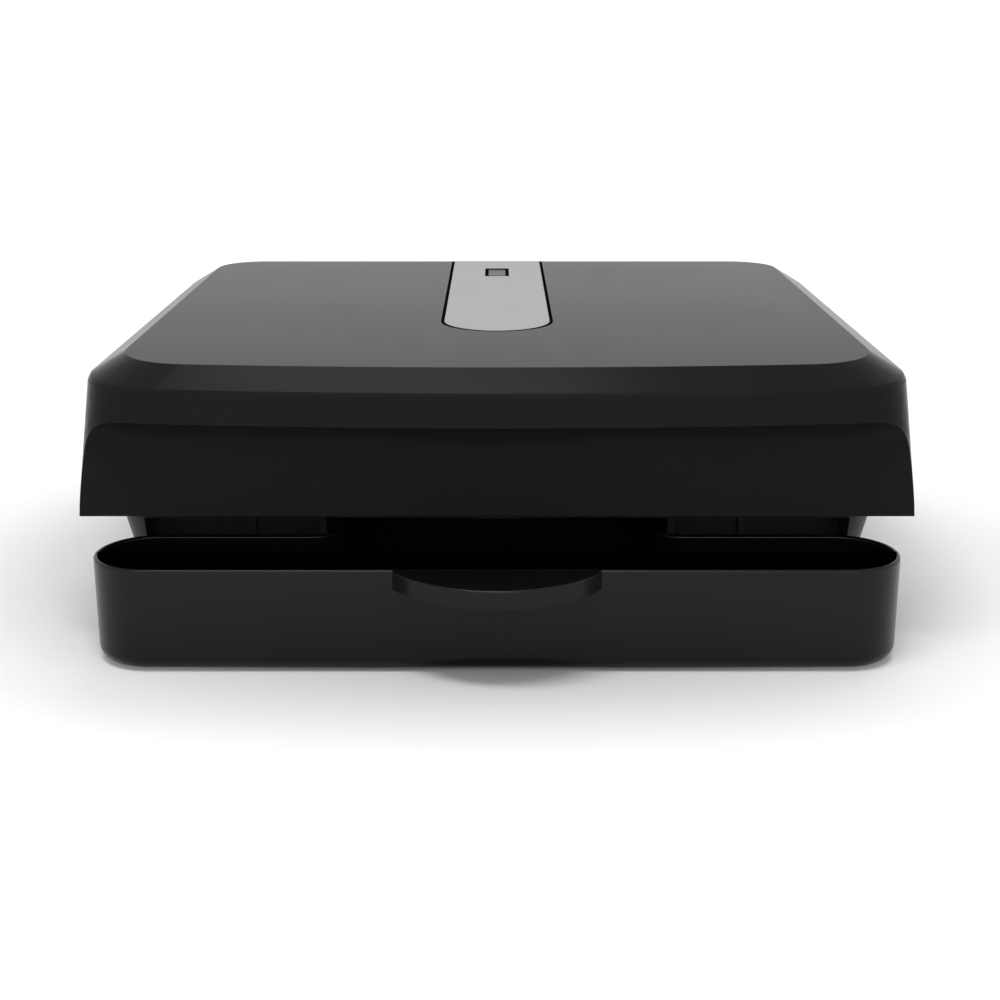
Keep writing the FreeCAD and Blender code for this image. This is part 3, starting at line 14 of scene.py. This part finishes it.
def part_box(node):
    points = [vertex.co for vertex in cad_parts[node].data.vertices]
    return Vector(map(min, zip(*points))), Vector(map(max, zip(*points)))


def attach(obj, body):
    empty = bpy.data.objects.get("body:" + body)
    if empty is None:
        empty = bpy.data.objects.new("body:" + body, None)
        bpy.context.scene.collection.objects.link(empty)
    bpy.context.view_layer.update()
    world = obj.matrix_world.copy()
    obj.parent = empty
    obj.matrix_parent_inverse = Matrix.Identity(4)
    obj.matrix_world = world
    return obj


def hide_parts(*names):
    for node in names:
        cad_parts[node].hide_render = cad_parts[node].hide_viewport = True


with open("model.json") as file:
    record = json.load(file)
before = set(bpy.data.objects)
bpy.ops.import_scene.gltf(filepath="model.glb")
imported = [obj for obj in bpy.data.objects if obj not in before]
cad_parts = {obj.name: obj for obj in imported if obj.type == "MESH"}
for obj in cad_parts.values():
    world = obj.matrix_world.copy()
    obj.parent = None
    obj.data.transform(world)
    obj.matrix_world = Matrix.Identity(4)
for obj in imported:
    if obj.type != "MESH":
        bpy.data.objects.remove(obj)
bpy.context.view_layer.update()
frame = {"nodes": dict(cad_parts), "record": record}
nodes = frame["nodes"]

MM = 0.001

# Camera, fitted to the photograph
FRONT_Y = -115.7 * MM  # the front plane: the faces of the brow and of the tray
LENS = 56.99
SENSOR_WIDTH = 36.0
SHIFT_X = 0.003
EYE_DISTANCE = 468.1 * MM  # in front of the front plane
EYE_HEIGHT = 198.6 * MM
PITCH = 16.73  # degrees below level

camera_data = bpy.data.cameras.new("photo_camera")
camera_data.lens = LENS
camera_data.sensor_width = SENSOR_WIDTH
camera_data.shift_x = SHIFT_X
camera = bpy.data.objects.new("photo_camera", camera_data)
camera.location = (0, FRONT_Y - EYE_DISTANCE, EYE_HEIGHT)
camera.rotation_euler = (radians(90 - PITCH), 0, 0)
bpy.context.scene.collection.objects.link(camera)
bpy.context.scene.camera = camera
bpy.context.scene.view_settings.view_transform = "Standard"


# Shading
class Value:
    """A socket that does arithmetic: each sign adds a Math node."""

    def __init__(self, shading, socket):
        self.shading = shading
        self.socket = socket

    def math(self, operation, first, second):
        return self.shading.node(
            "ShaderNodeMath", {"operation": operation}, {0: first, 1: second}
        )["Value"]

    def __add__(self, other):
        return self.math("ADD", self, other)

    __radd__ = __add__

    def __mul__(self, other):
        return self.math("MULTIPLY", self, other)

    __rmul__ = __mul__

    def or_more(self, other):
        return self.math("MAXIMUM", self, other)


class Shading:
    """The node tree of a material or of the world, and one way to add any node to it."""

    def __init__(self, owner):
        owner.use_nodes = True
        self.owner = owner
        self.tree = owner.node_tree
        self.tree.nodes.clear()

    def node(self, kind, settings=None, inputs=None):
        """Adds a node and gives its outputs by name."""
        made = self.tree.nodes.new(kind)
        for name, value in (settings or {}).items():
            setattr(made, name, value)
        self.feed(made, inputs or {})
        return self.outputs(made)

    def feed(self, made, inputs):
        for name, value in inputs.items():
            if isinstance(value, Value):
                self.tree.links.new(value.socket, made.inputs[name])
            else:
                made.inputs[name].default_value = value

    def outputs(self, made):
        return {socket.name: Value(self, socket) for socket in reversed(made.outputs)}

    def place(self):
        """The object's own coordinates, in metres."""
        return self.node("ShaderNodeTexCoord")["Object"]

    def noise(self, scale, detail, stretch=(1, 1, 1)):
        """Noise with this many features per metre; a stretch below 1 draws them out."""
        mapped = self.node("ShaderNodeMapping", {}, {"Vector": self.place(), "Scale": stretch})
        return self.node(
            "ShaderNodeTexNoise", {},
            {"Vector": mapped["Vector"], "Scale": scale, "Detail": detail},
        )["Fac"]

    def ramp(self, value, *stops):
        """Greys along a value; each stop is a place and a shade."""
        made = self.tree.nodes.new("ShaderNodeValToRGB")
        elements = made.color_ramp.elements
        while len(elements) < len(stops):
            elements.new(0.5)
        for element, (place, shade) in zip(elements, stops):
            element.position = place
            element.color = rgb(shade)
        self.feed(made, {"Fac": value})
        return self.outputs(made)["Color"]

    def mix(self, share, first, second):
        """The first colour where the share is 0, the second where it is 1."""
        made = self.tree.nodes.new("ShaderNodeMix")
        made.data_type = "RGBA"
        self.feed(made, {0: share, 6: first, 7: second})
        return Value(self, made.outputs[2])

    def bump(self, height, distance):
        return self.node("ShaderNodeBump", {}, {"Height": height, "Distance": distance})["Normal"]

    def seen(self):
        """1 for what the camera, a mirror or a lens sees, 0 for other light."""
        path = self.node("ShaderNodeLightPath")
        direct = path["Is Camera Ray"].or_more(path["Is Glossy Ray"])
        return direct.or_more(path["Is Transmission Ray"])

    def close(self, **sockets):
        """Ends the material in a Principled shader with these sockets."""
        names = {name.replace("_", " "): value for name, value in sockets.items()}
        shader = self.node("ShaderNodeBsdfPrincipled", {}, names)["BSDF"]
        self.node("ShaderNodeOutputMaterial", {}, {"Surface": shader})
        return self.owner


def finish(name):
    """The shading of a new material, still empty."""
    return Shading(bpy.data.materials.new(name))


def rgb(shade, tint=(1, 1, 1)):
    """An opaque colour: a grey, or a grey times a tint."""
    return tuple(shade * part for part in tint) + (1,)


# Finishes
def moulded_plastic(name, shade, roughness, grain, depth, specular, tint=(1, 1, 1.03)):
    """Moulded black plastic: a fine etched grain, faint cloudiness and handling marks."""
    skin = finish(name)
    cloud = skin.noise(scale=14, detail=3)
    etched = skin.noise(scale=grain, detail=2)
    wiped = skin.noise(scale=60, detail=4, stretch=(1, 0.35, 1))
    return skin.close(
        Base_Color=skin.mix(cloud, rgb(shade * 0.85, tint), rgb(shade * 1.15, tint)),
        Roughness=(roughness - 0.03) + 0.06 * cloud + 0.03 * wiped,
        Specular_IOR_Level=specular, Normal=skin.bump(etched, depth),
    )


def bare_metal(name, shade, roughness, tint=(1, 1, 1), drawn=(1, 1, 1), tarnish=0.25):
    """Plated or bare metal with fine drawn lines and patches of tarnish."""
    metal = finish(name)
    lines = metal.noise(scale=900, detail=3, stretch=drawn)
    patches = metal.ramp(metal.noise(scale=45, detail=5), (0.35, 0.0), (0.75, 1.0))
    bright = metal.mix(lines, rgb(shade * 0.9, tint), rgb(shade * 1.08, tint))
    dull = rgb(shade * (1 - tarnish), (tint[0], tint[1] * 0.95, tint[2] * 0.88))
    return metal.close(
        Base_Color=metal.mix(patches, bright, dull), Metallic=1.0,
        Roughness=roughness + 0.15 * patches + 0.08 * lines,
        Normal=metal.bump(lines, 0.02 * MM),
    )


def silver_lacquer(name):
    """Silver lacquer with fine metal flakes, satin and slightly clouded."""
    paint = finish(name)
    flakes = paint.noise(scale=2600, detail=1)
    cloud = paint.noise(scale=22, detail=3)
    sparkle = paint.ramp(flakes, (0.35, 0.0), (0.7, 1.0))
    cool = (1, 1, 1.01)
    return paint.close(
        Base_Color=paint.mix(
            0.2 * cloud, paint.mix(sparkle, rgb(0.25, cool), rgb(0.33, cool)), rgb(0.24)
        ),
        Metallic=0.4, Roughness=0.42 + 0.1 * cloud, Specular_IOR_Level=0.4,
        Normal=paint.bump(flakes, 0.01 * MM),
    )


def smoke_lens(name):
    """A smoke-grey window over the pilot lamp, with fine flutes across it."""
    lens = finish(name)
    flutes = lens.node(
        "ShaderNodeTexWave", {"wave_type": "BANDS", "bands_direction": "Y"},
        {"Vector": lens.place(), "Scale": 260.0},
    )["Fac"]
    cloud = lens.noise(scale=120, detail=2)
    return lens.close(
        Base_Color=lens.mix(0.3 * cloud, lens.mix(flutes, rgb(0.035), rgb(0.055)), rgb(0.08)),
        Roughness=0.2 + 0.1 * cloud, Specular_IOR_Level=0.06,
        Normal=lens.bump(flutes, 0.05 * MM),
    )


def nonstick_coating(name):
    """Speckled non-stick coating on cast plates, a little browned in patches."""
    coat = finish(name)
    specks = coat.ramp(coat.noise(scale=2200, detail=1), (0.62, 0.0), (0.7, 1.0))
    baked = coat.ramp(coat.noise(scale=35, detail=5), (0.4, 0.0), (0.8, 1.0))
    ground = coat.mix(specks, rgb(0.022), rgb(0.075))
    return coat.close(
        Base_Color=coat.mix(0.35 * baked, ground, rgb(0.035, (1.25, 0.95, 0.7))),
        Roughness=0.38 + 0.2 * baked,
        Normal=coat.bump(coat.noise(scale=1500, detail=3), 0.04 * MM),
    )


def black_rubber(name):
    """Dull black rubber with a grey bloom and a gripping grain."""
    rubber = finish(name)
    bloom = rubber.noise(scale=80, detail=4)
    grip = rubber.noise(scale=1600, detail=2)
    return rubber.close(
        Base_Color=rubber.mix(bloom, rgb(0.018), rgb(0.04)), Roughness=0.75 + 0.12 * bloom,
        Normal=rubber.bump(grip, 0.1 * MM),
    )


def woven_sleeve(name):
    """Glass-fibre sleeve over a lead: a fine braid with slight yellowing."""
    sleeve = finish(name)
    place = sleeve.place()
    along_x, along_y, along_z = (
        sleeve.node(
            "ShaderNodeTexWave", {"wave_type": "BANDS", "bands_direction": way},
            {"Vector": place, "Scale": 500.0, "Distortion": 1.5},
        )["Fac"]
        for way in ("X", "Y", "Z")
    )
    braid = 0.333 * (along_x + along_y + along_z)  # their mean
    return sleeve.close(
        Base_Color=sleeve.mix(braid, rgb(0.5, (1, 0.97, 0.88)), rgb(0.75, (1, 0.98, 0.93))),
        Roughness=0.7 + 0.2 * braid, Normal=sleeve.bump(braid, 0.1 * MM),
    )


def lamp_glass(name):
    """Clear, faintly filmed glass with a warm tint."""
    glass = finish(name)
    film = glass.noise(scale=300, detail=3)
    return glass.close(
        Base_Color=glass.mix(film, rgb(0.85, (1, 0.75, 0.62)), rgb(0.95, (1, 0.85, 0.75))),
        Roughness=0.06 + 0.1 * film, Transmission_Weight=0.8, IOR=1.45,
    )


def phenolic(name, shade, tint):
    """Hard moulding compound: mottled, with a low gloss."""
    resin = finish(name)
    mottle = resin.noise(scale=200, detail=5)
    return resin.close(
        Base_Color=resin.mix(mottle, rgb(shade * 0.75, tint), rgb(shade * 1.25, tint)),
        Roughness=0.45 + 0.15 * mottle, Normal=resin.bump(mottle, 0.05 * MM),
    )


FINISHES = {
    "cover_plastic": moulded_plastic(
        "lid_satin_black", shade=0.013, roughness=0.2, grain=2400, depth=0.01 * MM,
        specular=0.025,
    ),
    "tray_plastic": moulded_plastic(
        "tray_satin_black", shade=0.004, roughness=0.22, grain=2000, depth=0.012 * MM,
        specular=0.2,
    ),
    "housing_plastic": moulded_plastic(
        "housing_matte_black", shade=0.02, roughness=0.4, grain=1500, depth=0.03 * MM,
        specular=0.35,
    ),
    "trim_black": moulded_plastic(
        "bezel_matte_black", shade=0.003, roughness=0.6, grain=1800, depth=0.01 * MM,
        specular=0.0,
    ),
    "silver_trim": silver_lacquer("insert_silver"),
    "lens_grey": smoke_lens("pilot_smoke_grey"),
    "lamp_glass": lamp_glass("lamp_clear"),
    "grill_coating": nonstick_coating("plate_nonstick"),
    "element_steel": bare_metal(
        "element_tinted_steel", shade=0.3, roughness=0.35, tint=(1, 0.93, 0.86), tarnish=0.5
    ),
    "sheet_steel": bare_metal("sheet_zinc", shade=0.55, roughness=0.35, drawn=(1, 0.1, 1)),
    "screw_steel": bare_metal("screw_zinc", shade=0.5, roughness=0.28, drawn=(1, 1, 0.2)),
    "sheet_aluminium": bare_metal(
        "shield_aluminium", shade=0.7, roughness=0.3, drawn=(0.1, 1, 1)
    ),
    "control_body": phenolic("control_brown", shade=0.09, tint=(1.2, 0.9, 0.7)),
    "white_plastic": phenolic("holder_ivory", shade=0.6, tint=(1, 0.98, 0.92)),
    "lead_sleeve": woven_sleeve("lead_glass_braid"),
    "black_rubber": black_rubber("foot_rubber"),
}

# Painted shade: a matte black with no reflection, laid where the groove round the insert is in
# shade
GROOVE_PAINTED_SHADE = moulded_plastic(
    "groove_painted_shade", shade=0.003, roughness=0.8, grain=1800, depth=0.01 * MM, specular=0.0
)

slots = {part["node"]: part["material_slot"] for part in frame["record"]["subparts"]}
for name, node in nodes.items():
    node.data.materials.clear()
    node.data.materials.append(FINISHES[slots[name]])


# Pieces with softened edges in place of the plain solids
WELD = 0.002 * MM  # corners nearer than this become one
FLAT_TURN = radians(0.4)  # faces that turn less than this become one
SMOOTH_TURN = radians(32)  # edges that turn less than this are shaded smooth
EDGE_SEGMENTS = 3

RIM_TURN = radians(60)  # a rim's edges turn more than this
RIM_BAND = 0.2 * MM  # and lie no lower than this below the top
RIM_SEGMENTS = 4

SEAT_MARGIN = 1.5 * MM  # a groove's faces painted with shade reach this far round its piece
SEAT_BELOW = 1.0 * MM  # and this far below it
SEAT_LIP = 0.15 * MM  # and end this far below its top


def welded_form(name, spread=0.0):
    """A solid's mesh in one skin; a spread moves its sides and its front outwards."""
    form = bmesh.new()
    form.from_mesh(nodes[name].data)
    if spread:
        low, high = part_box(name)
        width, depth = high[0] - low[0], high[1] - low[1]
        bmesh.ops.scale(
            form, vec=(1 + 2 * spread / width, 1 + spread / depth, 1),
            space=Matrix.Translation((0, -high[1], 0)), verts=form.verts,
        )
    bmesh.ops.remove_doubles(form, verts=form.verts, dist=WELD)
    return form


def turning_edges(form, turn):
    """The edges at which two faces turn by more than this."""
    return [
        edge for edge in form.edges
        if len(edge.link_faces) == 2 and edge.calc_face_angle(0) > turn
    ]


def round_edges(form, edges, radius, segments, clamp_overlap):
    bmesh.ops.bevel(
        form, geom=edges, offset=radius, offset_type="OFFSET", segments=segments,
        profile=0.5, affect="EDGES", clamp_overlap=clamp_overlap, material=-1,
    )


def piece_from(form, name, material):
    """An object at the origin with this form, which is used up."""
    mesh = bpy.data.meshes.new(name)
    form.to_mesh(mesh)
    form.free()
    mesh.materials.append(material)
    piece = bpy.data.objects.new(name, mesh)
    bpy.context.scene.collection.objects.link(piece)
    return piece


def paint_groove_shade(mesh, seated):
    """Paints shade into the groove in which another piece sits: matte black faces with no
    reflection.
    """
    mesh.materials.append(GROOVE_PAINTED_SHADE)
    low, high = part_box(seated)
    for face in mesh.polygons:
        middle = face.center
        inside = all(
            low[side] - SEAT_MARGIN < middle[side] < high[side] + SEAT_MARGIN
            for side in range(2)
        )
        if inside and low[2] - SEAT_BELOW < middle[2] < high[2] - SEAT_LIP:
            face.material_index = 1


def soften(name, body, radius, turn=28, gap=0.0, rim=0.0, groove=None):
    """A smooth piece in place of a rigid solid, with its sharp edges rounded.

    Edges are sharp where they turn by more than so many degrees. A gap draws the sides
    and the front in, a rim first rounds the top edges by more, and a groove names the
    piece that sits in this one, round which shade is painted.
    """
    form = welded_form(name, -gap)
    bmesh.ops.dissolve_limit(
        form, angle_limit=FLAT_TURN, verts=form.verts, edges=form.edges, delimit={"NORMAL"}
    )
    if rim:
        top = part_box(name)[1][2]
        top_edges = [
            edge for edge in turning_edges(form, RIM_TURN)
            if min(vert.co.z for vert in edge.verts) > top - RIM_BAND
        ]
        round_edges(form, top_edges, rim, RIM_SEGMENTS, clamp_overlap=False)
    if radius:
        sharp = turning_edges(form, radians(turn))
        round_edges(form, sharp, radius, EDGE_SEGMENTS, clamp_overlap=True)
    for face in form.faces:
        face.smooth = True
    for edge in form.edges:
        edge.smooth = len(edge.link_faces) != 2 or edge.calc_face_angle(0) < SMOOTH_TURN
    piece = piece_from(form, name + "_soft", FINISHES[slots[name]])
    if groove:
        paint_groove_shade(piece.data, groove)
    weighted = piece.modifiers.new("even_shading", "WEIGHTED_NORMAL")
    weighted.keep_sharp = True
    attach(piece, body)
    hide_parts(name)


# the lid's groove round the insert gets painted shade
soften("lid_cover", "lid", 0.5 * MM, turn=14, groove="top_insert")
soften("drip_tray", "tray", 0.5 * MM, rim=0.8 * MM)
soften("top_insert", "lid", 0.25 * MM, gap=0.35 * MM)
soften("pilot_bezel", "lid", 0.2 * MM)
soften("pilot_lens", "lid", 0.2 * MM)
soften("base_housing", "base", 0)


def insert_shade_strip(spread, drop):
    """A thin black strip of painted shade round the silver insert, a little lower than the
    insert, that darkens the groove.
    """
    form = welded_form("top_insert", spread)
    low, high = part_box("top_insert")
    crown = [vert for vert in form.verts if vert.co.z > (low[2] + high[2]) / 2]
    bmesh.ops.translate(form, vec=(0, 0, -drop), verts=crown)
    rear_end = [vert for vert in form.verts if vert.co.y > high[1] - drop]
    bmesh.ops.translate(form, vec=(0, -drop, 0), verts=rear_end)
    shade_strip = piece_from(form, "insert_shade_strip", GROOVE_PAINTED_SHADE)
    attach(shade_strip, "lid")


insert_shade_strip(spread=0.72 * MM, drop=0.12 * MM)


# Studio: a white surround, a pale floor with a painted glow, and three soft lamps
SURROUND_LIGHT = 0.42  # what the surround gives as light; where it is seen, it is white
FLOOR_HALF_SIDE = 20.0
PAINTED_PATCH_SQUEEZE = (0.68, 1, 1)  # makes the painted darker patch round the grill wider than it is deep
FLOOR_PAINTED_GLOW = (  # distance from the grill's middle in metres, and painted glow: none near the grill
    (0.115, 0.0), (0.15, 0.16), (0.19, 0.26), (0.5, 0.5), (1.0, 0.7)
)
LAMP_TARGET = Vector((0, 0, 0.05))


def studio_surround():
    """White where it is seen, and dimmer as a light."""
    world = bpy.data.worlds.new("studio_surround")
    bpy.context.scene.world = world
    white = Shading(world)
    level = white.node(
        "ShaderNodeMapRange", {},
        {"Value": white.seen(), "To Min": SURROUND_LIGHT, "To Max": 1.0},
    )["Result"]
    light = white.node(
        "ShaderNodeBackground", {}, {"Color": rgb(1), "Strength": level}
    )["Background"]
    white.node("ShaderNodeOutputWorld", {}, {"Surface": light})


def studio_floor():
    """Pale paper with a painted glow, seen by the camera and in reflections, that runs it to
    white away from the grill and leaves a painted darker patch round the grill.
    """
    paper = finish("studio_paper")
    spot = paper.node(
        "ShaderNodeMapping", {}, {"Vector": paper.place(), "Scale": PAINTED_PATCH_SQUEEZE}
    )["Vector"]
    reach = paper.node("ShaderNodeVectorMath", {"operation": "LENGTH"}, {"Vector": spot})["Value"]
    # painted glow: emission that only the camera and reflections see, none close to the grill
    painted_glow = paper.ramp(reach, *FLOOR_PAINTED_GLOW) * paper.seen()
    grain = paper.noise(scale=700, detail=3)
    material = paper.close(
        Base_Color=paper.mix(grain, rgb(0.78), rgb(0.8)), Roughness=0.9,
        Specular_IOR_Level=0.1, Emission_Color=paper.mix(painted_glow, rgb(0), rgb(1)),
        Emission_Strength=1.0, Normal=paper.bump(grain, 0.1 * MM),
    )
    form = bmesh.new()
    bmesh.ops.create_grid(form, x_segments=1, y_segments=1, size=FLOOR_HALF_SIDE)
    piece_from(form, "studio_floor", material)


def soft_lamp(name, place, size, power):
    """A rectangular lamp that faces the grill."""
    lamp = bpy.data.lights.new(name, "AREA")
    lamp.shape = "RECTANGLE"
    lamp.size, lamp.size_y = size
    lamp.energy = power
    stand = bpy.data.objects.new(name, lamp)
    stand.location = place
    stand.rotation_euler = (LAMP_TARGET - Vector(place)).to_track_quat("-Z", "Y").to_euler()
    bpy.context.scene.collection.objects.link(stand)


studio_surround()
studio_floor()
soft_lamp("overhead_box", place=(-0.12, -0.4, 0.95), size=(0.56, 0.16), power=4.4)
soft_lamp("rear_box", place=(0.12, 0.38, 0.9), size=(0.8, 0.45), power=3.6)
soft_lamp("front_box", place=(0.05, -1.15, 0.5), size=(0.9, 0.4), power=2.5)
